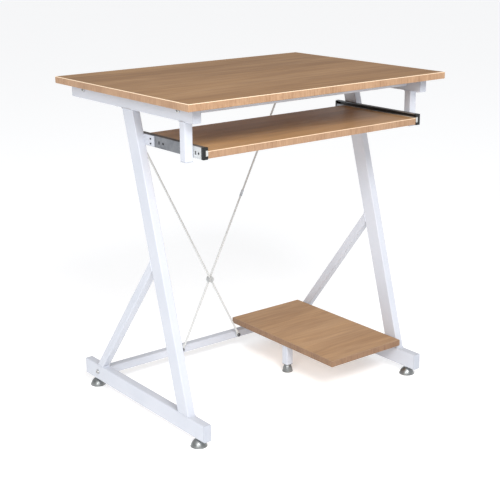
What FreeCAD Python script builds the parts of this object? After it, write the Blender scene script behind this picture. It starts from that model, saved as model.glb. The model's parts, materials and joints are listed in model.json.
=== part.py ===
import FreeCAD, Part
import math
import os

# A small computer desk: a laminated top on two Z-shaped steel side frames, a keyboard tray on
# plastic-lined steel slides, a low shelf for the computer case and a crossed rod brace behind.
# Millimetres. +Z is up, +X is to the sitter's right and the sitter is at -Y. The origin is on
# the floor, under the middle of the tabletop.

# ---------------------------------------------------------------- driving dimensions

DESK_WIDTH = 700.0
DESK_DEPTH = 520.0
DESK_HEIGHT = 734.0
BOARD = 15.0  # thickness of all three boards
BAND = 2.0  # thickness of the edge banding
BAND_ROUND = 1.5  # radius of the banding's outer edges

FRAME_HALF_WIDTH = 320.0  # outer faces of the two side frames
TUBE = 19.0  # width of every tube across the desk, and both sides of a square tube
DEEP_TUBE = 38.0  # the other side of the leg and foot-rail tube
RAIL_HEIGHT = 30.0  # height of the top-rail tube
WALL = 1.2
TUBE_CORNER = 2.0
CAP_FLANGE = 2.5
CAP_PLUG = 12.0
FIT = 0.1  # gap all round a plug or a screw

FOOT_GAP = 20.5  # floor to the underside of the foot rails
FOOT_RAIL_HALF = 244.0
TOP_RAIL_FRONT = -232.0
TOP_RAIL_REAR = 240.0
LEG_TOP_REAR_Y = 29.0  # rear edge of the leg where it meets the top rail
LEG_FOOT_REAR_Y = -148.0  # and where it meets the foot rail
STRUT_TOP_Z = 376.0  # where the upper edge of the strut leaves the leg
STRUT_FOOT_Y = 188.5  # and where it lands on the foot rail
HANGER_REAR_Y = -183.0
HANGER_BOTTOM = 608.0

FRONT_CROSSBAR_Y = -181.0  # middles of the crossbars
REAR_CROSSBAR_Y = 188.0
LOWER_CROSSBAR_Z = 40.0

TRAY_HALF_WIDTH = 288.0
TRAY_FRONT = -234.0
TRAY_REAR = 8.0
TRAY_TOP = 633.0

SLIDE_FRONT = -229.0
SLIDE_REAR = 38.0
SLIDE_HEIGHT = 25.0
SLIDE_TOP = 641.5
SLIDE_SHEET = 1.2
SLIDE_TRAVEL = 200.0
TAB_FRONT = -63.5
TAB_SHEET = 2.0
TAB_SCREW_Y = -52.0
TAB_SCREW_Z = (623.0, 633.0)

SHELF_LEFT = 80.0
SHELF_RIGHT = 300.5
SHELF_FRONT = -195.0
SHELF_REAR = 189.0
SHELF_TOP = 84.5
BEARER = 20.0
BEARER_LEFT = 125.0
FRONT_BEARER_Y = -130.0
REAR_BEARER_Y = 178.0
REAR_SHELF_SCREW_Y = 173.0  # ahead of the lower crossbar, so that a driver can reach it
POST_X = 93.0
POST_Y = -18.0

BRACE_MIDDLE_X = 1.0
BRACE_LOWER_HALF = 85.5
BRACE_UPPER_HALF = 255.0
ROD_RADIUS = 2.5
EYE_RADIUS = 6.0
EYE_SHEET = 2.5

GLIDE_FRONT_Y = -211.0
GLIDE_REAR_Y = 206.0
GLIDE_RADIUS = 18.0
POST_GLIDE_RADIUS = 13.0
STEM_RADIUS = 4.0
STEM_FIT = 0.05

# ---------------------------------------------------------------- worked out from them

FRAME_INNER = FRAME_HALF_WIDTH - TUBE
TUBE_MIDDLE = FRAME_HALF_WIDTH - TUBE / 2
BOARD_UNDER = DESK_HEIGHT - BOARD
RAIL_UNDER = BOARD_UNDER - RAIL_HEIGHT
FOOT_TOP = FOOT_GAP + DEEP_TUBE
UPPER_CROSSBAR_Z = BOARD_UNDER - TUBE / 2
SHELF_UNDER = SHELF_TOP - BOARD
SLIDE_UNDER = SLIDE_TOP - SLIDE_HEIGHT
SLIDE_MIDDLE_Z = SLIDE_TOP - SLIDE_HEIGHT / 2
ROD_BACK_Y = REAR_CROSSBAR_Y - TUBE / 2 - ROD_RADIUS - 0.3
ROD_FRONT_Y = ROD_BACK_Y - 2 * ROD_RADIUS - 0.3

X_AXIS = FreeCAD.Vector(1, 0, 0)
Y_AXIS = FreeCAD.Vector(0, 1, 0)
Z_AXIS = FreeCAD.Vector(0, 0, 1)
SIDES = (("left", -1), ("right", 1))


# ---------------------------------------------------------------- plain shapes


def point(x, y, z):
    return FreeCAD.Vector(x, y, z)


def box(x_range, y_range, z_range):
    """A box between two values on each axis, in either order."""
    low = [min(pair) for pair in (x_range, y_range, z_range)]
    size = [abs(pair[1] - pair[0]) for pair in (x_range, y_range, z_range)]
    return Part.makeBox(*size, point(*low))


def rod(radius, start, end):
    """A round bar from one point to another."""
    along = end - start
    return Part.makeCylinder(radius, along.Length, start, along)


def on_side(shape, sign):
    """The shape is modelled on the right, at +X; the left-hand one is its mirror image."""
    if sign > 0:
        return shape
    return shape.mirror(point(0, 0, 0), X_AXIS)


def join(shapes):
    """One solid from shapes that overlap."""
    return shapes[0].multiFuse(shapes[1:]).removeSplitter()


def cut_all(shape, tools):
    return shape.cut(Part.makeCompound(tools))


def group(shapes):
    """Separate solids kept together as one node."""
    return Part.makeCompound(shapes)


def edges_along(shape, direction):
    """The straight edges of a shape that run along a direction."""
    found = []
    for edge in shape.Edges:
        if len(edge.Vertexes) != 2 or not isinstance(edge.Curve, Part.Line):
            continue
        along = (edge.Vertexes[1].Point - edge.Vertexes[0].Point).normalize()
        if abs(along.dot(direction)) > 0.9999:
            found.append(edge)
    return found


def square_prism(x_range, y_range, z_range, direction, corner=TUBE_CORNER):
    """A box whose four edges along one direction are rounded."""
    solid = box(x_range, y_range, z_range)
    return solid.makeFillet(corner, edges_along(solid, direction))


def shrink(pair, by):
    low, high = sorted(pair)
    return (low + by, high - by)


def straight_tube(x_range, y_range, z_range, direction):
    """A rectangular tube, open at both ends, that runs along one of the axes."""
    ranges = [x_range, y_range, z_range]
    bore = []
    for pair, axis in zip(ranges, (X_AXIS, Y_AXIS, Z_AXIS)):
        bore.append(shrink(pair, -1.0) if axis is direction else shrink(pair, WALL))
    return square_prism(*ranges, direction).cut(box(*bore))


def end_cap(middle, outward, half_a, half_b):
    """A plastic plug for a tube's end: a rounded flange outside and a block inside the tube.

    middle is the centre of the tube's end face, outward the way the end faces, and half_a and
    half_b are half the tube's size along the two axes across it, in X, Y, Z order.
    """
    across = [axis for axis in (X_AXIS, Y_AXIS, Z_AXIS) if abs(axis.dot(outward)) < 0.5]

    def block(a, b, start, end):
        corners = []
        for sign, depth in ((-1, start), (1, end)):
            corners.append(middle + across[0] * (a * sign) + across[1] * (b * sign) + outward * depth)
        low, high = corners
        return box((low.x, high.x), (low.y, high.y), (low.z, high.z))

    flange = block(half_a, half_b, 0, CAP_FLANGE)
    flange = flange.makeFillet(TUBE_CORNER, edges_along(flange, outward))
    flange = flange.makeFillet(1.0, far_rim(flange, outward))
    inset = WALL + FIT
    plug = block(half_a - inset, half_b - inset, -CAP_PLUG, 0.5)
    return join([flange, plug])


def far_rim(solid, outward):
    """The edges round the end face of a solid that faces outward."""
    far = max(vertex.Point.dot(outward) for vertex in solid.Vertexes)
    return [edge for edge in solid.Edges if abs(edge.CenterOfMass.dot(outward) - far) < 0.01]


def rounded_head(radius, seat, outward, height):
    """A low round head whose outer rim is rounded."""
    head = rod(radius, seat, seat + outward * height)
    return head.makeFillet(height * 0.55, far_rim(head, outward))


def pan_screw(seat, along, length, shank, head, head_height):
    """A cross-head screw; seat is the middle of the face under its head."""
    body = rod(shank, seat - along * 0.5, seat + along * length)
    solid = join([rounded_head(head, seat, -along, head_height), body])
    across = Z_AXIS if abs(along.dot(Z_AXIS)) < 0.5 else X_AXIS
    other = along.cross(across)
    top = seat - along * head_height
    for first, second in ((across, other), (other, across)):
        solid = solid.cut(slot_cutter(top, along, first, second, head, head_height * 0.6))
    return solid


def slot_cutter(face_at, along, first, second, head, depth):
    """One bar of the cross cut in a screw's head."""
    half_long, half_wide = head * 0.55, head * 0.11
    corners = [
        face_at + first * half_long * a + second * half_wide * b - along * 0.2
        for a, b in ((-1, -1), (1, -1), (1, 1), (-1, 1))
    ]
    face = Part.Face(Part.makePolygon(corners + corners[:1]))
    return face.extrude(along * (depth + 0.2))


# ---------------------------------------------------------------- lines in the side view


def line(start, end):
    """A line in the side view: a point and a unit direction, both as (y, z)."""
    dy, dz = end[0] - start[0], end[1] - start[1]
    length = math.hypot(dy, dz)
    return (start, (dy / length, dz / length))


def shifted(given, by):
    """The same line, moved to the left of its own direction."""
    (y, z), (dy, dz) = given
    return ((y - dz * by, z + dy * by), (dy, dz))


def meet(first, second):
    """The point where two lines cross."""
    (y1, z1), (dy1, dz1) = first
    (y2, z2), (dy2, dz2) = second
    det = dy1 * dz2 - dz1 * dy2
    along = ((y2 - y1) * dz2 - (z2 - z1) * dy2) / det
    return (y1 + dy1 * along, z1 + dz1 * along)


def side_prism(corners, x_range):
    """A flat outline in the side view, pulled across the desk between two X values."""
    x0, x1 = x_range
    points = [point(x0, y, z) for y, z in corners]
    face = Part.Face(Part.makePolygon(points + points[:1]))
    return face.extrude(point(x1 - x0, 0, 0))


def slanted_tube(edge, width, end_a, end_b):
    """A tube of the side frame, on the right.

    edge is one long edge in the side view, and the tube lies to its left. end_a and end_b are
    the lines that its ends are cut on.
    """

    def outline(near, far):
        sides = (shifted(edge, near), shifted(edge, far))
        return [
            meet(sides[0], end_a),
            meet(sides[0], end_b),
            meet(sides[1], end_b),
            meet(sides[1], end_a),
        ]

    outer = side_prism(outline(0, width), (FRAME_INNER, FRAME_HALF_WIDTH))
    direction = point(0, edge[1][0], edge[1][1])
    outer = outer.makeFillet(TUBE_CORNER, edges_along(outer, direction))
    bore = side_prism(outline(WALL, width - WALL), shrink((FRAME_INNER, FRAME_HALF_WIDTH), WALL))
    return outer.cut(bore)


RAIL_UNDERSIDE = line((0, RAIL_UNDER), (1, RAIL_UNDER))
FOOT_TOPSIDE = line((0, FOOT_TOP), (1, FOOT_TOP))
LEG_REAR = line((LEG_FOOT_REAR_Y, FOOT_TOP), (LEG_TOP_REAR_Y, RAIL_UNDER))
LEG_FRONT = shifted(LEG_REAR, DEEP_TUBE)
STRUT_START = meet(LEG_REAR, line((0, STRUT_TOP_Z), (1, STRUT_TOP_Z)))
STRUT_UPPER = line((STRUT_FOOT_Y, FOOT_TOP), STRUT_START)


# ---------------------------------------------------------------- boards


def board(x_range, y_range, top):
    """The core of a board, inside its edge banding."""
    return box(shrink(x_range, BAND), shrink(y_range, BAND), (top - BOARD, top))


def bands(x_range, y_range, top):
    """The four strips glued round a board, their outer edges and corners rounded."""
    z_range = (top - BOARD, top)
    whole = box(x_range, y_range, z_range)
    whole = whole.makeFillet(BAND_ROUND, whole.Edges)
    ring = whole.cut(box(shrink(x_range, BAND), shrink(y_range, BAND), shrink(z_range, -1)))
    strips = []
    front, rear = sorted(y_range)
    for y_part in ((front, front + BAND), (rear - BAND, rear)):
        strips.append(ring.common(box(x_range, y_part, z_range)))
    for x_part in ((x_range[0], x_range[0] + BAND), (x_range[1] - BAND, x_range[1])):
        strips.append(ring.common(box(x_part, shrink(y_range, BAND), z_range)))
    return group([strip.Solids[0] for strip in strips])


TOP_X = (-DESK_WIDTH / 2, DESK_WIDTH / 2)
TOP_Y = (-DESK_DEPTH / 2, DESK_DEPTH / 2)
TRAY_X = (-TRAY_HALF_WIDTH, TRAY_HALF_WIDTH)
TRAY_Y = (TRAY_FRONT, TRAY_REAR)
SHELF_X = (SHELF_LEFT, SHELF_RIGHT)
SHELF_Y = (SHELF_FRONT, SHELF_REAR)

TOP_SCREW_Y = (-215.0, 60.0, 220.0)
TOP_SCREW_BITE = 11.0
TRAY_SCREW_Y = (-205.0, -110.0, -20.0)
TRAY_SCREW_LENGTH = 14.0
TRAY_SCREW_Z = TRAY_TOP - 5.5
TRAY_SCREW_RADIUS = 1.75
SCREW_RADIUS = 2.0
BITE_FIT = 0.05  # gap round a screw in the hole that it cuts for itself


def top_screw_places():
    return [point(sign * TUBE_MIDDLE, y, RAIL_UNDER) for _, sign in SIDES for y in TOP_SCREW_Y]


def tabletop():
    holes = []
    for at in top_screw_places():
        start = point(at.x, at.y, BOARD_UNDER - 1)
        holes.append(rod(SCREW_RADIUS + BITE_FIT, start, start + Z_AXIS * (TOP_SCREW_BITE + 1.1)))
    return cut_all(board(TOP_X, TOP_Y, DESK_HEIGHT), holes)


def frame_screw(seat, length):
    """A long screw that passes up through a tube into a board."""
    return pan_screw(seat, Z_AXIS, length, SCREW_RADIUS, 4.0, 2.2)


def tabletop_screws():
    length = RAIL_HEIGHT + TOP_SCREW_BITE
    return group([frame_screw(at, length) for at in top_screw_places()])


def tray_screw_places():
    """Where the screws of the right-hand slide meet the tray's side."""
    return [point(TRAY_HALF_WIDTH, y, TRAY_SCREW_Z) for y in TRAY_SCREW_Y]


def tray_screw_holes(radius):
    holes = []
    for at in tray_screw_places():
        for _, sign in SIDES:
            bar = rod(radius, at + X_AXIS * 2, at - X_AXIS * (TRAY_SCREW_LENGTH + 0.1))
            holes.append(on_side(bar, sign))
    return holes


def keyboard_tray():
    return cut_all(board(TRAY_X, TRAY_Y, TRAY_TOP), tray_screw_holes(TRAY_SCREW_RADIUS + BITE_FIT))


def tray_edge_bands():
    strips = bands(TRAY_X, TRAY_Y, TRAY_TOP).Solids
    return group([cut_all(strip, tray_screw_holes(TRAY_SCREW_RADIUS + BITE_FIT)) for strip in strips])


def tray_screws():
    screws = []
    for at in tray_screw_places():
        seat = at + X_AXIS * SLIDE_SHEET
        screw = pan_screw(seat, -X_AXIS, TRAY_SCREW_LENGTH + SLIDE_SHEET, TRAY_SCREW_RADIUS, 2.9, 1.6)
        screws += [on_side(screw, sign) for _, sign in SIDES]
    return group(screws)


# ---------------------------------------------------------------- side frames


def crossbar_bolt_places():
    """Where the axes of the crossbar bolts meet the outer face of the right side frame."""
    places = [(FRONT_CROSSBAR_Y, UPPER_CROSSBAR_Z), (REAR_CROSSBAR_Y, UPPER_CROSSBAR_Z)]
    places.append((REAR_CROSSBAR_Y, LOWER_CROSSBAR_Z))
    return [point(FRAME_HALF_WIDTH, y, z) for y, z in places]


BOLT_RADIUS = 3.0
BOLT_HEAD_RADIUS = 5.5
BOLT_HEAD_HEIGHT = 3.0
BOLT_BITE = 22.0  # how far a bolt reaches into its crossbar
INSERT_LENGTH = 24.0


def bolt_holes():
    tools = []
    for at in crossbar_bolt_places():
        tools.append(rod(BOLT_RADIUS + FIT, at + X_AXIS, at - X_AXIS * (TUBE + 1)))
    return tools


def top_rail():
    tube = straight_tube(
        (FRAME_INNER, FRAME_HALF_WIDTH),
        (TOP_RAIL_FRONT + CAP_FLANGE, TOP_RAIL_REAR - CAP_FLANGE),
        (RAIL_UNDER, BOARD_UNDER),
        Y_AXIS,
    )
    screw_holes = [
        rod(SCREW_RADIUS + FIT, point(TUBE_MIDDLE, y, RAIL_UNDER - 1), point(TUBE_MIDDLE, y, BOARD_UNDER + 1))
        for y in TOP_SCREW_Y
    ]
    return cut_all(tube, bolt_holes() + screw_holes)


def leg():
    return slanted_tube(LEG_REAR, DEEP_TUBE, FOOT_TOPSIDE, RAIL_UNDERSIDE)


def back_strut():
    return slanted_tube(STRUT_UPPER, TUBE, FOOT_TOPSIDE, LEG_REAR)


def foot_rail():
    half = FOOT_RAIL_HALF - CAP_FLANGE
    tube = straight_tube(
        (FRAME_INNER, FRAME_HALF_WIDTH), (-half, half), (FOOT_GAP, FOOT_TOP), Y_AXIS
    )
    insert_holes = []
    for y in (GLIDE_FRONT_Y, GLIDE_REAR_Y):
        at = point(TUBE_MIDDLE, y, FOOT_GAP)
        insert_holes.append(rod(NUT_BODY_RADIUS + 0.05, at - Z_AXIS, at + Z_AXIS * (WALL + 1)))
    return cut_all(tube, bolt_holes() + insert_holes)


def hanger():
    y_range = (HANGER_REAR_Y - TUBE, HANGER_REAR_Y)
    z_range = (HANGER_BOTTOM + CAP_FLANGE, RAIL_UNDER)
    tube = straight_tube((FRAME_INNER, FRAME_HALF_WIDTH), y_range, z_range, Z_AXIS)
    return cut_all(tube, slide_screw_holes(hanger_screw_places()))


def slide_tab():
    """The plate welded to the front of the leg that the rear of the slide is screwed to."""
    top, under = SLIDE_TOP - 1.5, SLIDE_UNDER + 1.5
    upper, lower = line((0, top), (1, top)), line((0, under), (1, under))
    corners = [(TAB_FRONT, under), meet(LEG_FRONT, lower), meet(LEG_FRONT, upper), (TAB_FRONT, top)]
    plate = side_prism(corners, (FRAME_INNER, FRAME_INNER + TAB_SHEET))
    return cut_all(plate, slide_screw_holes(tab_screw_places()))


def foot_rail_caps():
    caps = []
    for y_sign in (-1, 1):
        at = point(TUBE_MIDDLE, y_sign * (FOOT_RAIL_HALF - CAP_FLANGE), FOOT_GAP + DEEP_TUBE / 2)
        caps.append(end_cap(at, Y_AXIS * y_sign, TUBE / 2, DEEP_TUBE / 2))
    return group([on_side(cap, sign) for _, sign in SIDES for cap in caps])


def top_rail_caps():
    caps = []
    for y_sign, end in ((-1, TOP_RAIL_FRONT), (1, TOP_RAIL_REAR)):
        at = point(TUBE_MIDDLE, end - y_sign * CAP_FLANGE, BOARD_UNDER - RAIL_HEIGHT / 2)
        caps.append(end_cap(at, Y_AXIS * y_sign, TUBE / 2, RAIL_HEIGHT / 2))
    return group([on_side(cap, sign) for _, sign in SIDES for cap in caps])


def hanger_caps():
    at = point(TUBE_MIDDLE, HANGER_REAR_Y - TUBE / 2, HANGER_BOTTOM + CAP_FLANGE)
    cap = end_cap(at, -Z_AXIS, TUBE / 2, TUBE / 2)
    return group([on_side(cap, sign) for _, sign in SIDES])


# ---------------------------------------------------------------- crossbars and their bolts


def crossbar(y_middle, z_middle):
    half = TUBE / 2
    return straight_tube(
        (-FRAME_INNER, FRAME_INNER),
        (y_middle - half, y_middle + half),
        (z_middle - half, z_middle + half),
        X_AXIS,
    )


def upper_front_crossbar():
    return crossbar(FRONT_CROSSBAR_Y, UPPER_CROSSBAR_Z)


def upper_rear_crossbar():
    places = [at for at in brace_bolt_places() if at.z > DESK_HEIGHT / 2]
    return cut_all(crossbar(REAR_CROSSBAR_Y, UPPER_CROSSBAR_Z), nut_holes(places))


def lower_rear_crossbar():
    places = [at for at in brace_bolt_places() if at.z < DESK_HEIGHT / 2]
    return cut_all(crossbar(REAR_CROSSBAR_Y, LOWER_CROSSBAR_Z), nut_holes(places))


def crossbar_inserts():
    """Threaded plastic blocks inside the crossbar ends, one for each bolt."""
    half = TUBE / 2 - WALL - FIT
    blocks = []
    for at in crossbar_bolt_places():
        block = box(
            (FRAME_INNER - INSERT_LENGTH, FRAME_INNER - 0.2),
            (at.y - half, at.y + half),
            (at.z - half, at.z + half),
        )
        bore = rod(BOLT_RADIUS + 0.05, at, at - X_AXIS * (TUBE + BOLT_BITE + 0.1))
        blocks.append(block.cut(bore))
    return group([on_side(block, sign) for _, sign in SIDES for block in blocks])


def crossbar_bolts():
    """Button-head socket bolts through the side frames into the crossbar ends."""
    bolts = []
    for at in crossbar_bolt_places():
        head = rounded_head(BOLT_HEAD_RADIUS, at, X_AXIS, BOLT_HEAD_HEIGHT)
        shank = rod(BOLT_RADIUS, at + X_AXIS * 0.5, at - X_AXIS * (TUBE + BOLT_BITE))
        bolts.append(join([head, shank]).cut(hex_socket(at + X_AXIS * BOLT_HEAD_HEIGHT, X_AXIS)))
    return group([on_side(bolt, sign) for _, sign in SIDES for bolt in bolts])


def hex_socket(face_at, outward, across=4.0, depth=2.0):
    """A six-sided cutter, from just outside a bolt's face to the bottom of its socket."""
    radius = across / 2 / math.cos(math.pi / 6)
    side = Z_AXIS if abs(outward.dot(Z_AXIS)) < 0.5 else X_AXIS
    other = outward.cross(side)
    corners = []
    for step in range(6):
        angle = math.pi / 3 * step
        turned = side * (radius * math.cos(angle)) + other * (radius * math.sin(angle))
        corners.append(face_at + outward * 0.5 + turned)
    face = Part.Face(Part.makePolygon(corners + corners[:1]))
    return face.extrude(-outward * (depth + 0.5))


# ---------------------------------------------------------------- crossed rod brace

BRACE_BOLT_RADIUS = 2.5
BRACE_BOLT_BITE = 13.0
BRACE_HEAD_RADIUS = 4.8
BRACE_HEAD_HEIGHT = 2.6
BRACE_NUT_RADIUS = 3.9
BRACE_NUT_LENGTH = 10.0
CLIP_RADIUS = 7.5
SLEEVE_RADIUS = 3.4
SLEEVE_LENGTH = 16.0
SLEEVE_Z = 412.0


def brace_ends(rises):
    """The lower and upper bolt of the rod that rises to the right (1) or to the left (-1)."""
    lower = (BRACE_MIDDLE_X - rises * BRACE_LOWER_HALF, LOWER_CROSSBAR_Z)
    upper = (BRACE_MIDDLE_X + rises * BRACE_UPPER_HALF, UPPER_CROSSBAR_Z)
    return lower, upper


def brace_bolt_places():
    """Where the brace bolts meet the front faces of the two rear crossbars."""
    face_y = REAR_CROSSBAR_Y - TUBE / 2
    return [point(x, face_y, z) for rises in (1, -1) for x, z in brace_ends(rises)]


def rod_axis_y(rises):
    return ROD_BACK_Y if rises > 0 else ROD_FRONT_Y


def brace_rod(rises):
    """A round rod whose ends are pressed flat into eyes."""
    axis_y = rod_axis_y(rises)
    (x0, z0), (x1, z1) = brace_ends(rises)
    start, end = point(x0, axis_y, z0), point(x1, axis_y, z1)
    along = (end - start).normalize()
    eye_y = (axis_y + ROD_RADIUS + 0.3 - EYE_SHEET, axis_y + ROD_RADIUS + 0.3)
    middle = rod(ROD_RADIUS, start + along * 11, end - along * 11)
    parts = [middle]
    for centre, inward in ((start, along), (end, -along)):
        at = point(centre.x, eye_y[0], centre.z)
        parts.append(rod(EYE_RADIUS, at, at + Y_AXIS * EYE_SHEET))
        parts.append(flat_neck(at, inward, 15.0, 3.4))
    solid = join(parts)
    holes = []
    for centre in (start, end):
        holes.append(rod(BRACE_BOLT_RADIUS + 0.2, centre - Y_AXIS * 9, centre + Y_AXIS * 9))
    return cut_all(solid, holes)


def flat_neck(at, inward, length, half_width):
    """The flattened length between an eye and the round part of its rod."""
    across = inward.cross(Y_AXIS)
    corners = [
        at + across * half_width,
        at - across * half_width,
        at - across * half_width + inward * length,
        at + across * half_width + inward * length,
    ]
    face = Part.Face(Part.makePolygon(corners + corners[:1]))
    return face.extrude(Y_AXIS * EYE_SHEET)


def brace_rod_back():
    return brace_rod(1)


def brace_rod_front():
    return brace_rod(-1)


def rod_cutter(rises, radius):
    (x0, z0), (x1, z1) = brace_ends(rises)
    axis_y = rod_axis_y(rises)
    return rod(radius, point(x0, axis_y, z0), point(x1, axis_y, z1))


def crossing():
    """The point between the two rods, where they cross."""
    rise = UPPER_CROSSBAR_Z - LOWER_CROSSBAR_Z
    share = BRACE_LOWER_HALF / (BRACE_LOWER_HALF + BRACE_UPPER_HALF)
    middle_y = (ROD_BACK_Y + ROD_FRONT_Y) / 2
    return point(BRACE_MIDDLE_X, middle_y, LOWER_CROSSBAR_Z + rise * share)


def brace_cross_clip():
    """A round clip that the two rods pass through."""
    at = crossing()
    reach = 2 * ROD_RADIUS + 0.15 + 1.4
    clip = rod(CLIP_RADIUS, at - Y_AXIS * reach, at + Y_AXIS * reach)
    clip = clip.makeFillet(0.6, far_rim(clip, Y_AXIS) + far_rim(clip, -Y_AXIS))
    clip = cut_all(clip, [rod_cutter(rises, ROD_RADIUS + FIT) for rises in (1, -1)])
    recess = at - Y_AXIS * (reach + 1)
    return clip.cut(rod(1.6, recess, recess + Y_AXIS * 1.8))


def brace_joint_sleeve():
    """The sleeve that joins the two lengths of the back rod."""
    (x0, z0), (x1, z1) = brace_ends(1)
    start, end = point(x0, ROD_BACK_Y, z0), point(x1, ROD_BACK_Y, z1)
    along = (end - start).normalize()
    middle = start + along * ((SLEEVE_Z - z0) / along.z)
    half = SLEEVE_LENGTH / 2
    sleeve = rod(SLEEVE_RADIUS, middle - along * half, middle + along * half)
    return sleeve.cut(rod_cutter(1, ROD_RADIUS + 0.05))


def nut_holes(places):
    return [rod(BRACE_NUT_RADIUS + 0.05, at - Y_AXIS, at + Y_AXIS * (WALL + 1)) for at in places]


def brace_rivet_nuts():
    """Threaded rivets in the crossbar walls, for the brace bolts."""
    nuts = []
    for at in brace_bolt_places():
        body = rod(BRACE_NUT_RADIUS, at, at + Y_AXIS * BRACE_NUT_LENGTH)
        collar = rod(BRACE_NUT_RADIUS + 1.2, at + Y_AXIS * WALL, at + Y_AXIS * (WALL + 2.5))
        bore = rod(BRACE_BOLT_RADIUS + 0.05, at - Y_AXIS, at + Y_AXIS * (BRACE_NUT_LENGTH + 1))
        nuts.append(join([body, collar]).cut(bore))
    return group(nuts)


def brace_spacers():
    """Bushes that hold the eyes of the front rod clear of the crossbars."""
    spacers = []
    for x, z in brace_ends(-1):
        at = point(x, ROD_FRONT_Y + ROD_RADIUS + 0.3, z)
        end = point(x, REAR_CROSSBAR_Y - TUBE / 2, z)
        bush = rod(EYE_RADIUS - 1, at, end)
        spacers.append(bush.cut(rod(BRACE_BOLT_RADIUS + 0.2, at - Y_AXIS, end + Y_AXIS)))
    return group(spacers)


def brace_bolts():
    bolts = []
    for rises in (1, -1):
        seat_y = rod_axis_y(rises) + ROD_RADIUS + 0.3 - EYE_SHEET
        tip_y = REAR_CROSSBAR_Y - TUBE / 2 + BRACE_BOLT_BITE
        for x, z in brace_ends(rises):
            seat = point(x, seat_y, z)
            head = rounded_head(BRACE_HEAD_RADIUS, seat, -Y_AXIS, BRACE_HEAD_HEIGHT)
            shank = rod(BRACE_BOLT_RADIUS, seat - Y_AXIS * 0.5, point(x, tip_y, z))
            socket = hex_socket(seat - Y_AXIS * BRACE_HEAD_HEIGHT, -Y_AXIS, 3.0, 1.6)
            bolts.append(join([head, shank]).cut(socket))
    return group(bolts)


# ---------------------------------------------------------------- keyboard slides

# A slide's cross-section is given by depth, from the side frame's inner face towards the tray,
# and by height above or below the slide's middle.
SLIDE_WIDTH = FRAME_INNER - TRAY_HALF_WIDTH
SLIDE_HALF = SLIDE_HEIGHT / 2
OUTER_DEPTH = 10.2  # reach of the fixed member's flanges
INNER_START = 7.3  # where the moving member's flanges start
INNER_HALF = 5.7
INNER_FRONT = -234.5
INNER_REAR = 31.0
RUNNING_GAP = 0.3  # between the moving member and the liner's strips
LINER_START = 2.5  # clear of the screw heads on the fixed member's web
LINER_DEPTH = 11.0
LINER_REAR = 18.0
LINER_NOSE = 5.3  # how far the liner's front end stands out of the fixed member
BUMPER_LENGTH = 4.5
LUG_LENGTH = 3.0
LUG_START = 3.5
SLIDE_SCREW_RADIUS = 1.8
ROUND_HOLE_Y = (-95.0, -220.0)
ROUND_HOLE_RADIUS = 2.6
SLOT_Y = (-80.0, -210.0)
SLOT_HALF_WIDTH = 1.9


def from_frame(depth):
    """The X of a point this far in from the right side frame's inner face."""
    return FRAME_INNER - depth


def slide_box(depths, y_range, heights):
    """A box in a slide, by depth, Y and height about the slide's middle."""
    x_range = [from_frame(depth) for depth in depths]
    return box(x_range, y_range, [SLIDE_MIDDLE_Z + height for height in heights])


def channel(web_depth, lip_depth, half_height, y_range):
    """A C-shaped sheet-metal member: a web at one depth and two flanges to the other."""
    toward = 1 if lip_depth > web_depth else -1
    outer = slide_box((web_depth, lip_depth), y_range, (-half_height, half_height))
    web_x = from_frame(web_depth)
    bends = [edge for edge in edges_along(outer, Y_AXIS) if abs(edge.CenterOfMass.x - web_x) < 0.01]
    outer = outer.makeFillet(1.1, bends)
    inside = half_height - SLIDE_SHEET
    hollow_depths = (web_depth + toward * SLIDE_SHEET, lip_depth + toward)
    return outer.cut(slide_box(hollow_depths, shrink(y_range, -1), (-inside, inside)))


def hanger_screw_places():
    return [point(FRAME_INNER, HANGER_REAR_Y - TUBE / 2, SLIDE_MIDDLE_Z)]


def tab_screw_places():
    return [point(FRAME_INNER, TAB_SCREW_Y, z) for z in TAB_SCREW_Z]


def slide_screw_holes(places):
    reach = X_AXIS * 4
    return [rod(SLIDE_SCREW_RADIUS + FIT, at - reach, at + reach) for at in places]


def spare_holes():
    """The unused fixing holes of the fixed member: two round and two upright slots."""
    reach = X_AXIS * 4
    tools = []
    for y in ROUND_HOLE_Y:
        at = point(FRAME_INNER, y, SLIDE_MIDDLE_Z - 1)
        tools.append(rod(ROUND_HOLE_RADIUS, at - reach, at + reach))
    low, high = SLIDE_MIDDLE_Z - 3, SLIDE_MIDDLE_Z + 1
    for y in SLOT_Y:
        for z in (low, high):
            at = point(FRAME_INNER, y, z)
            tools.append(rod(SLOT_HALF_WIDTH, at - reach, at + reach))
        across = (y - SLOT_HALF_WIDTH, y + SLOT_HALF_WIDTH)
        tools.append(box((FRAME_INNER - 4, FRAME_INNER + 4), across, (low, high)))
    return tools


def slide_outer():
    """The fixed member, screwed to the hanger and to the leg's tab."""
    member = channel(0, OUTER_DEPTH, SLIDE_HALF, (SLIDE_FRONT, SLIDE_REAR))
    screws = slide_screw_holes(hanger_screw_places() + tab_screw_places())
    return cut_all(member, screws + spare_holes())


def slide_liner():
    """The black plastic liner: a rub strip above and below the moving member, and a front end."""
    inside = INNER_HALF + RUNNING_GAP
    outside = SLIDE_HALF - SLIDE_SHEET - BITE_FIT
    nose_y = (SLIDE_FRONT - LINER_NOSE, SLIDE_FRONT - 0.1)
    nose = slide_box((0.1, SLIDE_WIDTH - 0.2), nose_y, (0.1 - SLIDE_HALF, SLIDE_HALF - 0.1))
    nose = nose.makeFillet(1.0, edges_along(nose, Y_AXIS))
    mouth_depths = (INNER_START - RUNNING_GAP, SLIDE_WIDTH + 1)
    nose = nose.cut(slide_box(mouth_depths, shrink(nose_y, -1), (-inside, inside)))
    strips = []
    for heights in ((inside, outside), (-outside, -inside)):
        depths = (LINER_START, LINER_DEPTH)
        strips.append(slide_box(depths, (SLIDE_FRONT - 1, LINER_REAR), heights))
    return join([nose] + strips)


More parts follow.
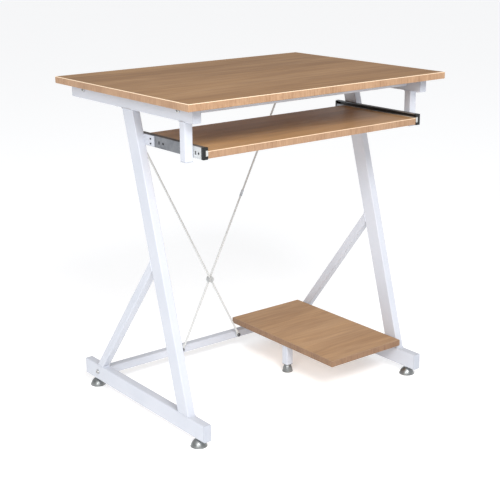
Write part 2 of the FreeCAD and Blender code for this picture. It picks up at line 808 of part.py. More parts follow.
def slide_inner():
    """The moving member, screwed to the side of the tray.

    Its front is closed by a tongue, and two lugs stop it at the liner's front end.
    """
    member = channel(SLIDE_WIDTH, INNER_START, INNER_HALF, (INNER_FRONT, INNER_REAR))
    front = (INNER_FRONT, INNER_FRONT + SLIDE_SHEET)
    tongue = slide_box((INNER_START, SLIDE_WIDTH), front, (-INNER_HALF, INNER_HALF))
    tongue = tongue.makeFillet(1.8, edges_along(tongue, Y_AXIS))
    lug_front = SLIDE_FRONT + SLIDE_TRAVEL + RUNNING_GAP
    lug_y = (lug_front, lug_front + LUG_LENGTH)
    lugs = []
    for sign in (-1, 1):
        heights = (sign * (INNER_HALF - SLIDE_SHEET), sign * INNER_HALF)
        lugs.append(slide_box((LUG_START, INNER_START + 1), lug_y, heights))
    holes = []
    for at in tray_screw_places():
        holes.append(rod(TRAY_SCREW_RADIUS + FIT, at - X_AXIS, at + X_AXIS * (SLIDE_SHEET + 1)))
    return cut_all(join([member, tongue] + lugs), holes)


def slide_rear_bumpers():
    """Rubber stops in the rear ends of the fixed members, which the closed tray rests against."""
    y_range = (INNER_REAR + RUNNING_GAP, INNER_REAR + RUNNING_GAP + BUMPER_LENGTH)
    inside = SLIDE_HALF - SLIDE_SHEET
    block = slide_box((SLIDE_SHEET, SLIDE_WIDTH - 0.5), y_range, (-inside, inside))
    return group([on_side(block, sign) for _, sign in SIDES])


def slide_screws():
    """Screws whose heads lie inside the fixed members."""
    screws = []
    for at in hanger_screw_places() + tab_screw_places():
        seat = at - X_AXIS * SLIDE_SHEET
        length = SLIDE_SHEET + TAB_SHEET + 1.5
        screw = pan_screw(seat, X_AXIS, length, SLIDE_SCREW_RADIUS, 3.4, 1.0)
        screws += [on_side(screw, sign) for _, sign in SIDES]
    return group(screws)


# ---------------------------------------------------------------- computer shelf

SHELF_SCREW_X = (150.0, 265.0)
SHELF_SCREW_BITE = 10.0
POST_DOWEL_RADIUS = 3.0
POST_DOWEL_BITE = 10.0
POST_TOP = SHELF_UNDER
POST_PLUG = 16.0


def shelf_screw_seats():
    """The seats of the shelf screws, under the two bearers."""
    rows = (FRONT_BEARER_Y, REAR_SHELF_SCREW_Y)
    return [point(x, y, SHELF_UNDER - BEARER) for y in rows for x in SHELF_SCREW_X]


def cpu_shelf():
    holes = []
    for seat in shelf_screw_seats():
        at = point(seat.x, seat.y, SHELF_UNDER - 1)
        holes.append(rod(SCREW_RADIUS + BITE_FIT, at, at + Z_AXIS * (SHELF_SCREW_BITE + 1.1)))
    dowel_at = point(POST_X, POST_Y, POST_TOP - 1)
    holes.append(rod(POST_DOWEL_RADIUS + 0.05, dowel_at, dowel_at + Z_AXIS * (POST_DOWEL_BITE + 1.1)))
    return cut_all(board(SHELF_X, SHELF_Y, SHELF_TOP), holes)


def shelf_screws():
    length = BEARER + SHELF_SCREW_BITE
    return group([frame_screw(seat, length) for seat in shelf_screw_seats()])


def bearer(y_middle, screw_y, right_end):
    half = BEARER / 2
    tube = straight_tube(
        (BEARER_LEFT, right_end),
        (y_middle - half, y_middle + half),
        (SHELF_UNDER - BEARER, SHELF_UNDER),
        X_AXIS,
    )
    holes = []
    for x in SHELF_SCREW_X:
        at = point(x, screw_y, SHELF_UNDER)
        holes.append(rod(SCREW_RADIUS + FIT, at + Z_AXIS, at - Z_AXIS * (BEARER + 1)))
    return cut_all(tube, holes)


def shelf_bearer_front():
    return bearer(FRONT_BEARER_Y, FRONT_BEARER_Y, FRAME_INNER)


def shelf_bearer_rear():
    return bearer(REAR_BEARER_Y, REAR_SHELF_SCREW_Y, SHELF_RIGHT)


def shelf_post():
    half = TUBE / 2
    return straight_tube(
        (POST_X - half, POST_X + half), (POST_Y - half, POST_Y + half), (FOOT_GAP, POST_TOP), Z_AXIS
    )


def post_plug(z_range, bore_radius):
    half = TUBE / 2 - WALL - FIT
    block = box((POST_X - half, POST_X + half), (POST_Y - half, POST_Y + half), z_range)
    bore = rod(bore_radius, point(POST_X, POST_Y, z_range[0] - 1), point(POST_X, POST_Y, z_range[1] + 1))
    return block.cut(bore)


def post_top_plug():
    return post_plug((POST_TOP - POST_PLUG, POST_TOP), POST_DOWEL_RADIUS + 0.05)


def post_dowel_screw():
    """The double-ended screw that holds the post to the underside of the shelf."""
    low = POST_TOP - POST_PLUG + 1
    return rod(POST_DOWEL_RADIUS, point(POST_X, POST_Y, low), point(POST_X, POST_Y, POST_TOP + POST_DOWEL_BITE))


def post_foot_plug():
    """The threaded plug in the post's lower end, with a thin flange under the tube."""
    plug = post_plug((FOOT_GAP, FOOT_GAP + POST_PLUG), STEM_RADIUS + STEM_FIT)
    half = TUBE / 2
    flange = square_prism(
        (POST_X - half, POST_X + half), (POST_Y - half, POST_Y + half), (FOOT_GAP - 1, FOOT_GAP), Z_AXIS
    )
    bore = rod(STEM_RADIUS + STEM_FIT, point(POST_X, POST_Y, 0), point(POST_X, POST_Y, FOOT_GAP + 1))
    return join([plug, flange.cut(bore)])


# ---------------------------------------------------------------- levelling glides

COLLAR_TOP = FOOT_GAP - 1.3  # the glide's collar stops just under the flange above it
STEM_TOP = FOOT_GAP + 14.0
RIM_HEIGHT = 2.2
DOME_BULGE = 0.6  # how far the dome's middle lies along its width and its rise; 0.5 is a cone
NUT_BODY_RADIUS = 5.4
NUT_FLANGE_RADIUS = 7.5
NUT_FLANGE = 1.0


def glide_inserts():
    """Threaded rivets in the undersides of the foot rails."""
    nuts = []
    for y in (GLIDE_FRONT_Y, GLIDE_REAR_Y):
        at = point(TUBE_MIDDLE, y, FOOT_GAP)
        body = rod(NUT_BODY_RADIUS, at - Z_AXIS * 0.5, at + Z_AXIS * 13)
        flange = rod(NUT_FLANGE_RADIUS, at - Z_AXIS * NUT_FLANGE, at)
        bore = rod(STEM_RADIUS + STEM_FIT, at - Z_AXIS * 2, at + Z_AXIS * 14)
        nuts.append(join([body, flange]).cut(bore))
    return group([on_side(nut, sign) for _, sign in SIDES for nut in nuts])


def glide(x, y, radius, collar):
    """A domed foot on a threaded stem, turned about its own axis.

    The dome is an arc that bulges a little outside the straight line from rim to collar.
    """
    def at(distance, z):
        return point(x + distance, y, z)

    width, rise = radius - 0.6 - collar, COLLAR_TOP - 2.0 - RIM_HEIGHT
    bend = at(collar + width * DOME_BULGE, RIM_HEIGHT + rise * DOME_BULGE)
    dome_low, dome_high = at(radius - 0.6, RIM_HEIGHT), at(collar, COLLAR_TOP - 2.0)
    outline = [
        Part.makeLine(at(0, 0), at(radius - 1.2, 0)),
        Part.makeLine(at(radius - 1.2, 0), at(radius, 0.8)),
        Part.makeLine(at(radius, 0.8), at(radius, RIM_HEIGHT - 0.6)),
        Part.makeLine(at(radius, RIM_HEIGHT - 0.6), dome_low),
        Part.Arc(dome_low, bend, dome_high).toShape(),
        Part.makeLine(dome_high, at(collar, COLLAR_TOP)),
        Part.makeLine(at(collar, COLLAR_TOP), at(STEM_RADIUS, COLLAR_TOP)),
        Part.makeLine(at(STEM_RADIUS, COLLAR_TOP), at(STEM_RADIUS, STEM_TOP)),
        Part.makeLine(at(STEM_RADIUS, STEM_TOP), at(0, STEM_TOP)),
        Part.makeLine(at(0, STEM_TOP), at(0, 0)),
    ]
    return Part.Face(Part.Wire(outline)).revolve(point(x, y, 0), Z_AXIS, 360)


# ---------------------------------------------------------------- every node


def single_nodes():
    makers = (
        tabletop,
        tabletop_screws,
        keyboard_tray,
        tray_edge_bands,
        tray_screws,
        cpu_shelf,
        shelf_screws,
        shelf_bearer_front,
        shelf_bearer_rear,
        shelf_post,
        post_top_plug,
        post_dowel_screw,
        post_foot_plug,
        foot_rail_caps,
        top_rail_caps,
        hanger_caps,
        upper_front_crossbar,
        upper_rear_crossbar,
        lower_rear_crossbar,
        crossbar_inserts,
        crossbar_bolts,
        brace_rod_back,
        brace_rod_front,
        brace_cross_clip,
        brace_joint_sleeve,
        brace_rivet_nuts,
        brace_spacers,
        brace_bolts,
        slide_rear_bumpers,
        slide_screws,
        glide_inserts,
    )
    nodes = {maker.__name__: maker() for maker in makers}
    nodes["tabletop_edge_bands"] = bands(TOP_X, TOP_Y, DESK_HEIGHT)
    nodes["shelf_edge_bands"] = bands(SHELF_X, SHELF_Y, SHELF_TOP)
    return nodes


def sided_nodes():
    makers = (top_rail, leg, back_strut, foot_rail, hanger, slide_tab, slide_outer, slide_liner, slide_inner)
    nodes = {}
    for maker in makers:
        shape = maker()
        for side, sign in SIDES:
            nodes[f"{side}_{maker.__name__}"] = on_side(shape, sign)
    return nodes


def glide_nodes():
    nodes = {}
    for side, sign in SIDES:
        for end, y in (("front", GLIDE_FRONT_Y), ("rear", GLIDE_REAR_Y)):
            nodes[f"{end}_{side}_glide"] = glide(sign * TUBE_MIDDLE, y, GLIDE_RADIUS, 6.5)
    nodes["shelf_post_glide"] = glide(POST_X, POST_Y, POST_GLIDE_RADIUS, 8.0)
    return nodes


def main():
    os.makedirs("parts", exist_ok=True)
    for nodes in (single_nodes(), sided_nodes(), glide_nodes()):
        for name, shape in nodes.items():
            shape.exportStep(f"parts/{name}.step")


main()
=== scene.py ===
"""Looks for a small computer desk with a keyboard tray: materials, weld beads, light and camera."""

import json
import math
import random

import bpy
from mathutils import Matrix, Vector


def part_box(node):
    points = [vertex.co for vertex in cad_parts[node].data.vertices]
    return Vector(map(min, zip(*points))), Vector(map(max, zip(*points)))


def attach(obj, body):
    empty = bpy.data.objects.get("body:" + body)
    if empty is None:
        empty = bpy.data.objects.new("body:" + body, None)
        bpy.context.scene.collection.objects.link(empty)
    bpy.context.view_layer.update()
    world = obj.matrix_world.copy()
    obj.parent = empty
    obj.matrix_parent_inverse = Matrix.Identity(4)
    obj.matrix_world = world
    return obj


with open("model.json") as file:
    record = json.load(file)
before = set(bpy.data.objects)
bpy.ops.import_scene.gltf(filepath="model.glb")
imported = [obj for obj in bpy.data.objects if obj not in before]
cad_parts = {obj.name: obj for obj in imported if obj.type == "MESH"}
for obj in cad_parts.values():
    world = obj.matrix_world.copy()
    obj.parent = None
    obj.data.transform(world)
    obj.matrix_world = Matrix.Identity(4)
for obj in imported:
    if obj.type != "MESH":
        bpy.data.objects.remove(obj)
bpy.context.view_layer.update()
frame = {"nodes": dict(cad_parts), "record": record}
nodes = frame["nodes"]

MM = 0.001


# ---------------------------------------------------------------- material building blocks


def srgb(red, green, blue):
    """A colour given as 0-255 display values, in the linear values that shaders use."""
    linear = []
    for value in (red, green, blue):
        value = value / 255
        linear.append(value / 12.92 if value <= 0.04045 else ((value + 0.055) / 1.055) ** 2.4)
    return (*linear, 1.0)


class Shader:
    """One node material, with short calls for the nodes used here."""

    def __init__(self, name):
        self.material = bpy.data.materials.new(name)
        self.material.use_nodes = True
        self.tree = self.material.node_tree
        self.bsdf = self.tree.nodes["Principled BSDF"]
        self.place = self.tree.nodes.new("ShaderNodeTexCoord").outputs["Object"]

    def node(self, kind, links=(), **settings):
        """A new node, with its settings and what goes into its sockets."""
        made = self.tree.nodes.new(kind)
        for name, value in settings.items():
            setattr(made, name, value)
        for socket, value in dict(links).items():
            self.feed(made.inputs[socket], value)
        return made

    def feed(self, socket, value):
        """Joins a socket to another node's output, or gives it a value."""
        if isinstance(value, bpy.types.NodeSocket):
            self.tree.links.new(value, socket)
        else:
            socket.default_value = value

    def set(self, **values):
        """Sets the shader's own sockets, by name with underscores for spaces."""
        for name, value in values.items():
            self.feed(self.bsdf.inputs[name.replace("_", " ")], value)

    def stretched(self, scale):
        """Places on the object, scaled along each axis."""
        links = {"Vector": self.place, "Scale": scale}
        return self.node("ShaderNodeMapping", links).outputs["Vector"]

    def noise(self, scale, detail=3.0, rough=0.5, distortion=0.0, seed=0.0):
        """Noise with a given number of features per metre along each axis."""
        links = {
            "Vector": self.stretched(scale),
            "W": seed,
            "Scale": 1.0,
            "Detail": detail,
            "Roughness": rough,
            "Distortion": distortion,
        }
        return self.node("ShaderNodeTexNoise", links, noise_dimensions="4D").outputs["Fac"]

    def cells(self, scale):
        """The distance to the nearest of many scattered points."""
        links = {"Vector": self.stretched(scale), "Scale": 1.0}
        return self.node("ShaderNodeTexVoronoi", links).outputs["Distance"]

    def span(self, value, low, high, to_low=0.0, to_high=1.0):
        """The value taken from one range to another, and held at its ends."""
        links = {"Value": value, 1: low, 2: high, 3: to_low, 4: to_high}
        return self.node("ShaderNodeMapRange", links).outputs["Result"]

    def math(self, operation, first, second=0.5, third=0.0):
        """One sum on numbers. Operations that take fewer numbers ignore the rest."""
        links = {0: first, 1: second, 2: third}
        return self.node("ShaderNodeMath", links, operation=operation).outputs[0]

    def reach(self, across, low, high):
        """How near to the desk's middle a point is, from its X on either side."""
        return self.span(self.math("ABSOLUTE", across, 0.0), low, high)

    def mix(self, share, first, second, blend="MIX"):
        """The first colour, with a share of the second blended into it."""
        made = self.node("ShaderNodeMix", data_type="RGBA", blend_type=blend)
        self.feed(made.inputs[0], share)
        self.feed(made.inputs[6], first)
        self.feed(made.inputs[7], second)
        return made.outputs[2]

    def facing(self):
        """The three parts of the surface's own direction."""
        normal = self.node("ShaderNodeNewGeometry").outputs["Normal"]
        return self.node("ShaderNodeSeparateXYZ", {0: normal}).outputs

    def upward(self):
        """How far the surface faces up."""
        return self.facing()["Z"]

    def ramp(self, value, stops):
        """Colours placed along a value from 0 to 1."""
        made = self.node("ShaderNodeValToRGB", {"Fac": value})
        elements = made.color_ramp.elements
        elements[0].position, elements[0].color = stops[0]
        elements[1].position, elements[1].color = stops[-1]
        for position, colour in stops[1:-1]:
            elements.new(position).color = colour
        return made.outputs["Color"]

    def bump(self, height, distance, strength=1.0, under=None):
        """A surface raised by up to a distance in metres, over another bump."""
        links = {"Height": height, "Distance": distance, "Strength": strength}
        made = self.node("ShaderNodeBump", links)
        if under is not None:
            self.feed(made.inputs["Normal"], under)
        return made.outputs["Normal"]


# ---------------------------------------------------------------- materials


# Pale colour painted along the edge bands' upward-facing top corners as a painted highlight.
PAINTED_EDGE_HIGHLIGHT = srgb(252, 226, 194)
PORE_BROWN = srgb(112, 78, 48)
WARM_CAST = (1.0, 0.96, 0.86, 1.0)


def laminate(name, light, middle, dark, rough, gloss):
    """Printed beech: soft streaks along X, darker bands, short pores and a satin overlay."""
    s = Shader(name)
    broad = s.noise((1.6, 13, 13), 3, 0.55, 0.6, 1.0)
    flames = s.noise((6, 75, 75), 4, 0.62, 0.5, 14.0)
    streaks = s.noise((7, 240, 240), 4, 0.6, 0.15, 2.0)
    fibres = s.noise((40, 1500, 1500), 2, 0.5, 0.0, 3.0)
    tone = s.math("MULTIPLY_ADD", broad, 0.36, s.math("MULTIPLY", flames, 0.38))
    tone = s.math("MULTIPLY_ADD", streaks, 0.26, tone)
    colour = s.ramp(tone, [(0.41, dark), (0.5, middle), (0.59, light)])
    warm = s.span(s.noise((2.2, 9, 9), 2, 0.5, 0.4, 15.0), 0.4, 0.6, 0.0, 0.5)
    colour = s.mix(warm, colour, s.mix(1.0, colour, WARM_CAST, "MULTIPLY"))
    colour = s.mix(s.span(fibres, 0.3, 0.7, 0.0, 0.16), colour, dark)
    pore = s.span(s.cells((150, 900, 900)), 0.16, 0.26, 1.0, 0.0)
    chosen = s.math("MULTIPLY", pore, s.span(streaks, 0.5, 0.62))
    colour = s.mix(s.math("MULTIPLY", chosen, 0.35), colour, PORE_BROWN)
    grain = s.bump(fibres, 0.00012, 0.35)
    pits = s.bump(s.math("MULTIPLY", chosen, -1.0), 0.00015, 0.4, grain)
    s.set(Base_Color=colour, Roughness=s.span(streaks, 0.3, 0.7, rough - 0.05, rough + 0.07))
    s.set(Normal=pits, Specular_IOR_Level=gloss)
    return s.material


def edge_band(name, light, middle, dark, highlight_share=1.0):
    """Plastic banding printed with end grain: fine upright ticks, and a painted highlight: faces
    that turn upward at the top corner are painted pale.
    """
    s = Shader(name)
    ticks = s.noise((520, 520, 45), 3, 0.65, 0.0, 4.0)
    patches = s.noise((30, 30, 12), 2, 0.5, 0.0, 5.0)
    tone = s.math("ADD", s.math("MULTIPLY", ticks, 0.72), s.math("MULTIPLY", patches, 0.28))
    colour = s.ramp(tone, [(0.36, dark), (0.5, middle), (0.64, light)])
    # Painted highlight: faces that turn upward, the rounded top corner and the band's top, are
    # painted pale.
    painted_highlight = s.span(s.upward(), 0.25, 0.6, 0.0, highlight_share)
    colour = s.mix(painted_highlight, colour, PAINTED_EDGE_HIGHLIGHT)
    s.set(Base_Color=colour, Roughness=s.span(ticks, 0.3, 0.7, 0.34, 0.46))
    s.set(Normal=s.bump(ticks, 0.0001, 0.3), Specular_IOR_Level=0.5)
    return s.material


def powder_coat(name, colour, shade, rough=0.33):
    """Baked powder paint: fine orange peel, small nibs and a slightly uneven gloss."""
    s = Shader(name)
    peel = s.noise((750, 750, 750), 2, 0.4, 0.0, 6.0)
    waves = s.noise((180, 180, 180), 2, 0.5, 0.0, 7.0)
    film_and_painted_shade = s.noise((9, 9, 9), 3, 0.55, 0.0, 8.0)
    nibs = s.span(s.cells((260, 260, 260)), 0.05, 0.09, 1.0, 0.0)
    tint = s.mix(s.span(film_and_painted_shade, 0.3, 0.7), colour, shade)
    normal = s.bump(waves, 0.00016, 0.25)
    normal = s.bump(peel, 0.00006, 0.5, normal)
    normal = s.bump(nibs, 0.00008, 0.25, normal)
    s.set(Base_Color=tint, Roughness=s.span(film_and_painted_shade, 0.3, 0.7, rough - 0.04, rough + 0.06))
    s.set(Normal=normal, Specular_IOR_Level=0.5, Coat_Weight=0.15, Coat_Roughness=0.2)
    return s.material


def moulded(name, colour, worn, rough, grain=900):
    """Moulded plastic or rubber: fine spark texture, flow marks and scuffed high spots."""
    s = Shader(name)
    spark = s.noise((grain, grain, grain), 2, 0.6, 0.0, 9.0)
    flow = s.noise((25, 60, 25), 3, 0.5, 0.8, 10.0)
    tint = s.mix(s.span(flow, 0.35, 0.75, 0.0, 0.8), colour, worn)
    s.set(Base_Color=tint, Roughness=s.span(flow, 0.3, 0.7, rough - 0.06, rough + 0.08))
    s.set(Normal=s.bump(spark, 0.00008, 0.4), Specular_IOR_Level=0.45)
    return s.material


def plated(name, colour, dull, rough, scale, bump=0.3):
    """Plated steel: drawn scratches along the stretched axis over a cloudy plating."""
    s = Shader(name)
    scratches = s.noise(scale, 3, 0.65, 0.0, 11.0)
    cloud = s.noise((55, 55, 55), 3, 0.55, 0.3, 12.0)
    tint = s.mix(s.span(cloud, 0.35, 0.7), colour, dull)
    tint = s.mix(s.span(scratches, 0.45, 0.7, 0.0, 0.25), tint, dull)
    s.set(Base_Color=tint, Metallic=1.0)
    s.set(Roughness=s.span(scratches, 0.3, 0.7, rough - 0.06, rough + 0.1))
    s.set(Normal=s.bump(scratches, 0.00005, bump))
    return s.material


def slide_steel(name, colour, dull, painted_lit_front, painted_shade_colour):
    """Zinc-plated slide members: painted light makes them brighter towards the front, and painted
    shade makes the channel's inner faces and upward faces dark.
    """
    s = Shader(name)
    scratches = s.noise((900, 25, 900), 3, 0.65, 0.0, 11.0)
    cloud = s.noise((55, 55, 55), 3, 0.55, 0.3, 12.0)
    along = s.node("ShaderNodeSeparateXYZ", {0: s.place}).outputs
    tint = s.mix(s.span(cloud, 0.35, 0.7), colour, dull)
    tint = s.mix(s.span(scratches, 0.45, 0.7, 0.0, 0.25), tint, dull)
    # Painted light: the front end is painted brighter.
    tint = s.mix(s.span(along["Y"], -0.16, -0.21), tint, painted_lit_front)
    # Painted shade: the channel's inner faces and faces that turn up are painted dark and made less
    # metallic.
    faces = s.facing()
    outward = s.math("MULTIPLY", faces["X"], s.math("SIGN", along["X"], 0.0))
    channel_painted_shade = s.math("MULTIPLY", s.span(outward, 0.4, 0.8), s.reach(along["X"], 0.2995, 0.2985))
    film_and_painted_shade = s.math("MAXIMUM", channel_painted_shade, s.span(faces["Z"], 0.4, 0.8, 0.0, 0.8))
    tint = s.mix(film_and_painted_shade, tint, painted_shade_colour)
    s.set(Base_Color=tint, Metallic=s.span(film_and_painted_shade, 0.0, 1.0, 1.0, 0.3))
    s.set(Roughness=s.span(scratches, 0.3, 0.7, 0.32, 0.48))
    s.set(Normal=s.bump(scratches, 0.00005, 0.3))
    return s.material


materials = {
    "laminate_top": laminate(
        "laminate_top", srgb(166, 129, 90), srgb(150, 113, 75), srgb(131, 95, 59), 0.5, 0.3
    ),
    "laminate_tray": laminate(
        "laminate_tray", srgb(200, 159, 113), srgb(185, 144, 100), srgb(164, 124, 82), 0.34, 0.2
    ),
    "laminate_shelf": laminate(
        "laminate_shelf", srgb(190, 153, 115), srgb(175, 139, 103), srgb(157, 121, 87), 0.46, 0.35
    ),
    "edge_top": edge_band("edge_top", srgb(180, 145, 112), srgb(166, 130, 99), srgb(145, 109, 78)),
    "edge_tray": edge_band(
        "edge_tray", srgb(174, 140, 110), srgb(161, 127, 98), srgb(141, 106, 76)
    ),
    # The shelf's edge bands get only a faint painted highlight.
    "edge_shelf": edge_band(
        "edge_shelf", srgb(148, 114, 84), srgb(136, 103, 75), srgb(118, 86, 61), 0.12
    ),
    "white_frame": powder_coat("white_frame", srgb(201, 204, 212), srgb(194, 198, 207)),
    "white_rod": powder_coat("white_rod", srgb(208, 209, 208), srgb(198, 199, 198), 0.38),
    "white_plastic": moulded("white_plastic", srgb(178, 182, 191), srgb(184, 188, 197), 0.42),
    "black_plastic": moulded("black_plastic", srgb(14, 15, 15), srgb(24, 25, 25), 0.4),
    "black_rubber": moulded("black_rubber", srgb(20, 20, 20), srgb(30, 29, 28), 0.75, 600),
    # The last two colours are the painted light at the front end and the painted shade in the
    # channel and on top.
    "slide_steel": slide_steel(
        "slide_steel",
        srgb(150, 152, 156),
        srgb(128, 131, 136),
        srgb(222, 223, 220),
        srgb(34, 29, 27),
    ),
    "clip": moulded("clip", srgb(176, 178, 178), srgb(188, 190, 190), 0.4),
    "black_screw": plated(
        "black_screw", srgb(52, 53, 56), srgb(34, 35, 37), 0.35, (700, 700, 700), 0.2
    ),
    "grey_screw": plated(
        "grey_screw", srgb(122, 124, 128), srgb(96, 98, 102), 0.35, (700, 700, 700), 0.2
    ),
    "zinc_steel": plated(
        "zinc_steel", srgb(196, 199, 203), srgb(170, 174, 180), 0.34, (900, 25, 900)
    ),
    "zinc_screw": plated(
        "zinc_screw", srgb(205, 205, 204), srgb(178, 178, 178), 0.28, (700, 700, 700), 0.2
    ),
    "chrome_glide": plated(
        "chrome_glide", srgb(158, 160, 160), srgb(124, 127, 126), 0.36, (300, 300, 900), 0.15
    ),
}


OWN_MATERIAL = {
    "brace_bolts": "grey_screw",
    "brace_cross_clip": "clip",
    "left_slide_outer": "slide_steel",
    "right_slide_outer": "slide_steel",
    "left_slide_inner": "slide_steel",
    "right_slide_inner": "slide_steel",
}


def material_for(slot, node):
    """The material for one CAD node: a few have their own, and the rest go by slot."""
    if node in OWN_MATERIAL:
        return materials[OWN_MATERIAL[node]]
    if node.endswith("_edge_bands"):
        return materials["edge_" + slot.split("_")[1]]
    return materials[slot]


for subpart in frame["record"]["subparts"]:
    node = subpart["node"]
    for place in nodes[node].material_slots:
        place.material = material_for(subpart["material_slot"], node)


# ---------------------------------------------------------------- weld beads

BEAD_RADIUS = 1.5 * MM
BEAD_STEP = 1.4 * MM
BEAD_SIDES = 8
RIPPLE_HEIGHT = 0.16
RIPPLE_TURN = 2.4
RIPPLE_SCATTER = 0.08
BEAD_CORNER = 2 * MM
CORNER_STEPS = 4
LEAST_BEAD_POINTS = 8
# How deep the leaning tubes are where a level face cuts them, and where the strut meets the leg.
LEG_LEVEL_DEPTH = 39.5 * MM
STRUT_LEVEL_DEPTH = 24.1 * MM
STRUT_LOWEST_ON_LEG = 353 * MM
BEAD_SEED = 11


def rounded_loop(corners, radius):
    """Points spaced evenly round a closed outline, with its corners rounded."""
    outline = []
    count = len(corners)
    for index, corner in enumerate(corners):
        before = (corners[index - 1] - corner).normalized()
        after = (corners[(index + 1) % count] - corner).normalized()
        start = corner + before * radius
        end = corner + after * radius
        for step in range(CORNER_STEPS + 1):
            share = step / CORNER_STEPS
            outline.append(
                start * (1 - share) ** 2 + corner * 2 * share * (1 - share) + end * share**2
            )
    return respaced(outline, BEAD_STEP)


def respaced(outline, step):
    """The same closed outline, with points a step apart."""
    lengths = []
    for index, at in enumerate(outline):
        lengths.append((outline[(index + 1) % len(outline)] - at).length)
    total = sum(lengths)
    count = max(LEAST_BEAD_POINTS, round(total / step))
    points = []
    index, walked = 0, 0.0
    for number in range(count):
        target = total * number / count
        while walked + lengths[index] < target:
            walked += lengths[index]
            index += 1
        start, end = outline[index], outline[(index + 1) % len(outline)]
        share = (target - walked) / lengths[index] if lengths[index] else 0.0
        points.append(start.lerp(end, share))
    return points


def bead_mesh(name, loops, chance):
    """Weld beads round closed loops: a chain of overlapping ripples, a little uneven."""
    vertices, faces = [], []
    for loop in loops:
        first = len(vertices)
        count = len(loop)
        for index, at in enumerate(loop):
            tangent = (loop[(index + 1) % count] - loop[index - 1]).normalized()
            side = tangent.orthogonal().normalized()
            up = tangent.cross(side)
            ripple = 1 + RIPPLE_HEIGHT * math.sin(index * RIPPLE_TURN)
            ripple += chance.uniform(-RIPPLE_SCATTER, RIPPLE_SCATTER)
            radius = BEAD_RADIUS * ripple
            for turn in range(BEAD_SIDES):
                angle = 2 * math.pi * turn / BEAD_SIDES
                vertices.append(at + (side * math.cos(angle) + up * math.sin(angle)) * radius)
        for ring in range(count):
            here = first + ring * BEAD_SIDES
            there = first + (ring + 1) % count * BEAD_SIDES
            shift = 0
            if ring == count - 1:
                shift = closing_turn(vertices, here, there)
            for turn in range(BEAD_SIDES):
                after = (turn + 1) % BEAD_SIDES
                faces.append(
                    (
                        here + turn,
                        here + after,
                        there + (after + shift) % BEAD_SIDES,
                        there + (turn + shift) % BEAD_SIDES,
                    )
                )
    mesh = bpy.data.meshes.new(name)
    mesh.from_pydata([tuple(v) for v in vertices], [], faces)
    mesh.validate()
    for polygon in mesh.polygons:
        polygon.use_smooth = True
    piece = bpy.data.objects.new(name, mesh)
    bpy.context.scene.collection.objects.link(piece)
    return piece


def closing_turn(vertices, here, there):
    """How far the last ring is turned from the first, in sides."""
    best = None
    for shift in range(BEAD_SIDES):
        gap = sum(
            (vertices[here + turn] - vertices[there + (turn + shift) % BEAD_SIDES]).length
            for turn in range(BEAD_SIDES)
        )
        if best is None or gap < best[0]:
            best = (gap, shift)
    return best[1]


def level_joint(x_range, y_range, z):
    """The outline of a tube that meets a level face, or of its section there."""
    (x0, x1), (y0, y1) = x_range, y_range
    corners = [Vector((x, y, z)) for x, y in ((x0, y0), (x1, y0), (x1, y1), (x0, y1))]
    return rounded_loop(corners, BEAD_CORNER)


def weld_loops(side):
    """The closed bead lines of one side frame."""
    leg_low, leg_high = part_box(side + "_leg")
    strut_low, strut_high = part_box(side + "_back_strut")
    hang_low, hang_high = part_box(side + "_hanger")
    xs = (leg_low[0], leg_high[0])
    rise = leg_high[2] - leg_low[2]
    lean = (leg_high[1] - leg_low[1] - LEG_LEVEL_DEPTH) / rise
    loops = [
        level_joint(xs, (leg_high[1] - LEG_LEVEL_DEPTH, leg_high[1]), leg_high[2]),
        level_joint(xs, (leg_low[1], leg_low[1] + LEG_LEVEL_DEPTH), leg_low[2]),
        level_joint(xs, (hang_low[1], hang_high[1]), hang_high[2]),
    ]
    strut_back = (strut_high[1] - STRUT_LEVEL_DEPTH, strut_high[1])
    loops.append(level_joint(xs, strut_back, strut_low[2]))
    bottom, top = STRUT_LOWEST_ON_LEG, strut_high[2]
    corners = []
    for x, z in ((xs[0], bottom), (xs[1], bottom), (xs[1], top), (xs[0], top)):
        y = leg_low[1] + LEG_LEVEL_DEPTH + lean * (z - leg_low[2])
        corners.append(Vector((x, y, z)))
    loops.append(rounded_loop(corners, BEAD_CORNER))
    return loops


chance = random.Random(BEAD_SEED)
for side in ("left", "right"):
    beads = bead_mesh(side + "_weld_beads", weld_loops(side), chance)
    beads.data.materials.append(materials["white_frame"])
    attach(beads, "desk_frame")


# ---------------------------------------------------------------- floor, light and camera

FLOOR_RADIUS = 40.0
FLOOR_SIDES = 96
FLOOR_TONE = (0.78, 0.78, 0.78, 1.0)
FLOOR_GLOW = 0.42
WHITE = (1.0, 1.0, 1.0, 1.0)
STUDIO_TINT = (0.97, 0.98, 1.0, 1.0)
STUDIO_BRIGHT_SIDE = (-0.5, -0.6, 0.25)
STUDIO_BRIGHT = 0.76
STUDIO_DIM = 0.5
CAMERA_PLACE = (-1.5154, -1.9525, 1.0631)
CAMERA_YAW = 37.70
CAMERA_PITCH = 16.65
CAMERA_ROLL = -0.51
CAMERA_LENS = 79.4
CAMERA_SENSOR = 36.0


def floor_disc():
    """A very large pale floor, which glows a little so that shadows stay soft."""
    rim = []
    for step in range(FLOOR_SIDES):
        angle = 2 * math.pi * step / FLOOR_SIDES
        rim.append((FLOOR_RADIUS * math.cos(angle), FLOOR_RADIUS * math.sin(angle), 0.0))
    mesh = bpy.data.meshes.new("floor")
    mesh.from_pydata(rim, [], [tuple(range(FLOOR_SIDES))])
    floor = bpy.data.objects.new("floor", mesh)
    bpy.context.scene.collection.objects.link(floor)
    s = Shader("floor")
    s.set(Base_Color=FLOOR_TONE, Roughness=0.9, Specular_IOR_Level=0.1)
    s.set(Emission_Color=WHITE, Emission_Strength=FLOOR_GLOW)
    mesh.materials.append(s.material)


def area_light(name, place, target, size, watts):
    """A round soft light that faces its target."""
    light = bpy.data.lights.new(name, "AREA")
    light.shape = "DISK"
    light.size = size
    light.energy = watts
    lamp = bpy.data.objects.new(name, light)
    lamp.location = place
    lamp.rotation_euler = (Vector(target) - Vector(place)).to_track_quat("-Z", "Y").to_euler()
    bpy.context.scene.collection.objects.link(lamp)


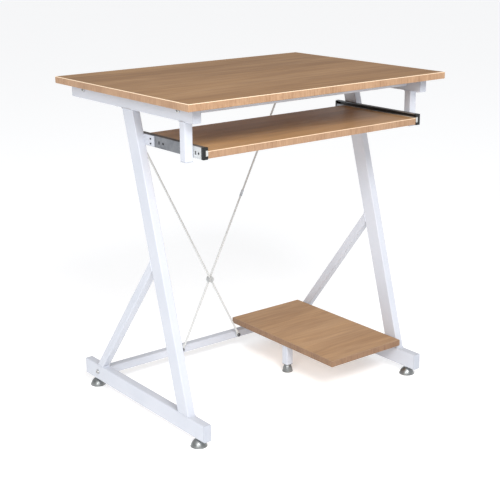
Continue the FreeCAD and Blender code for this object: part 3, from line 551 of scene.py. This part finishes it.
def soft_world(toward, bright, dim):
    """An even studio, brighter on one side than on the other."""
    world = bpy.data.worlds.new("studio")
    world.use_nodes = True
    tree = world.node_tree
    background = tree.nodes["Background"]
    background.inputs["Color"].default_value = STUDIO_TINT
    side = tree.nodes.new("ShaderNodeVectorMath")
    side.operation = "DOT_PRODUCT"
    tree.links.new(tree.nodes.new("ShaderNodeTexCoord").outputs["Generated"], side.inputs[0])
    side.inputs[1].default_value = Vector(toward).normalized()
    level = tree.nodes.new("ShaderNodeMapRange")
    for socket, value in ((1, -1.0), (2, 1.0), (3, dim), (4, bright)):
        level.inputs[socket].default_value = value
    tree.links.new(side.outputs["Value"], level.inputs["Value"])
    tree.links.new(level.outputs["Result"], background.inputs["Strength"])
    bpy.context.scene.world = world


def photo_camera():
    """The camera, from where it stands, which way it looks and how it leans."""
    yaw, pitch, roll = (
        math.radians(angle) for angle in (CAMERA_YAW, CAMERA_PITCH, CAMERA_ROLL)
    )
    forward = Vector(
        (
            math.sin(yaw) * math.cos(pitch),
            math.cos(yaw) * math.cos(pitch),
            -math.sin(pitch),
        )
    )
    level = Vector((math.cos(yaw), -math.sin(yaw), 0.0))
    upward = level.cross(forward)
    right = level * math.cos(roll) + upward * math.sin(roll)
    up = upward * math.cos(roll) - level * math.sin(roll)
    data = bpy.data.cameras.new("camera")
    data.sensor_width = CAMERA_SENSOR
    data.lens = CAMERA_LENS
    camera = bpy.data.objects.new("camera", data)
    turn = Matrix((right, up, -forward)).transposed()
    camera.matrix_world = Matrix.Translation(CAMERA_PLACE) @ turn.to_4x4()
    bpy.context.scene.collection.objects.link(camera)
    bpy.context.scene.camera = camera


floor_disc()
soft_world(STUDIO_BRIGHT_SIDE, STUDIO_BRIGHT, STUDIO_DIM)
area_light("key", (-2.6, -1.8, 1.9), (0, 0, 0.55), 1.4, 38.0)
area_light("front", (-0.9, -2.3, 2.35), (0, -0.1, 0.6), 1.1, 60.0)
photo_camera()
bpy.context.scene.view_settings.view_transform = "Standard"
